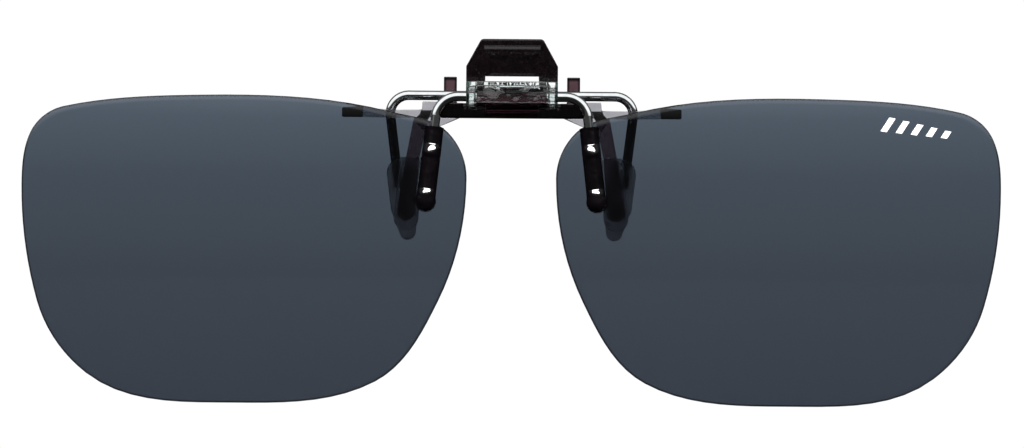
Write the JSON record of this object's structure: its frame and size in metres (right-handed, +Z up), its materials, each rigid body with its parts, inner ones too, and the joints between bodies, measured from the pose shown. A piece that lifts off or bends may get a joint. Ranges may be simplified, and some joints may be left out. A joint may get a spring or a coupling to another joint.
{
  "type": "clip-on sunglasses",
  "caption": "Flip-up tinted lenses on a spring clip: pinched finger tabs open soft jaws that grip a pair of spectacles, and the lenses tip up on a wire axle.",
  "frame": {"origin": "middle of the grip: halfway between the two jaws, halfway between the left and right gripping places", "axes": "+X towards the wearer's left, +Y towards the wearer's face, +Z up; the lenses face -Y"},
  "size_m": [0.1322, 0.0116, 0.0491],
  "materials": {
    "clear_plastic": "clear moulded polycarbonate, glossy",
    "black_smoke": "near-black smoked plastic, glossy",
    "grey_smoke": "grey smoked plastic, glossy",
    "dark_silicone": "soft dark sleeve, satin",
    "pin_steel": "bright steel pin",
    "spring_steel": "bright spring steel",
    "brown_smoke": "brown smoked plastic, glossy",
    "chrome_wire": "polished chrome wire",
    "grey_silicone": "grey translucent silicone, satin",
    "dark_smoke": "dark brown smoked plastic, glossy",
    "black_vinyl": "glossy black soft vinyl",
    "pale_plastic": "pale see-through plastic",
    "black_plastic": "black plastic, satin",
    "tinted_lens": "smoke grey tinted lens, polished"
  },
  "bodies": {
    "clip_body": {"housing": "clear_plastic", "front_tab": "black_smoke", "front_yoke": "grey_smoke", "front_sleeve_left": "dark_silicone", "front_sleeve_right": "dark_silicone", "hinge_pin": "pin_steel", "jaw_spring": "spring_steel", "flip_spring": "spring_steel"},
    "rear_jaw": {"rear_carrier": "brown_smoke", "rear_tab": "black_smoke", "rear_wire": "chrome_wire", "rear_pad_left": "grey_silicone", "rear_pad_right": "grey_silicone"},
    "lens_frame": {"lens_bar": "dark_smoke", "front_wire": "chrome_wire", "front_tube_left": "black_vinyl", "front_tube_right": "black_vinyl", "mount_strip_left": "pale_plastic", "mount_strip_right": "pale_plastic", "lens_boss_left": "black_plastic", "lens_boss_right": "black_plastic", "lens_left": "tinted_lens", "lens_right": "tinted_lens"}
  },
  "joints": [
    {"name": "lens_flip", "type": "hinge", "parent": "clip_body", "child": "lens_frame", "pos_m": [0, -0.0059, 0.01325], "axis": [-1, 0, 0], "range_deg": [0, 90], "deforming": ["flip_spring"]},
    {"name": "jaw_pinch", "type": "hinge", "parent": "clip_body", "child": "rear_jaw", "pos_m": [0, -0.0022, 0.0142], "axis": [1, 0, 0], "range_deg": [0, 24], "stiffness_Nm_per_rad": 0.03, "springref_deg": -28.65, "deforming": ["jaw_spring"]}
  ]
}
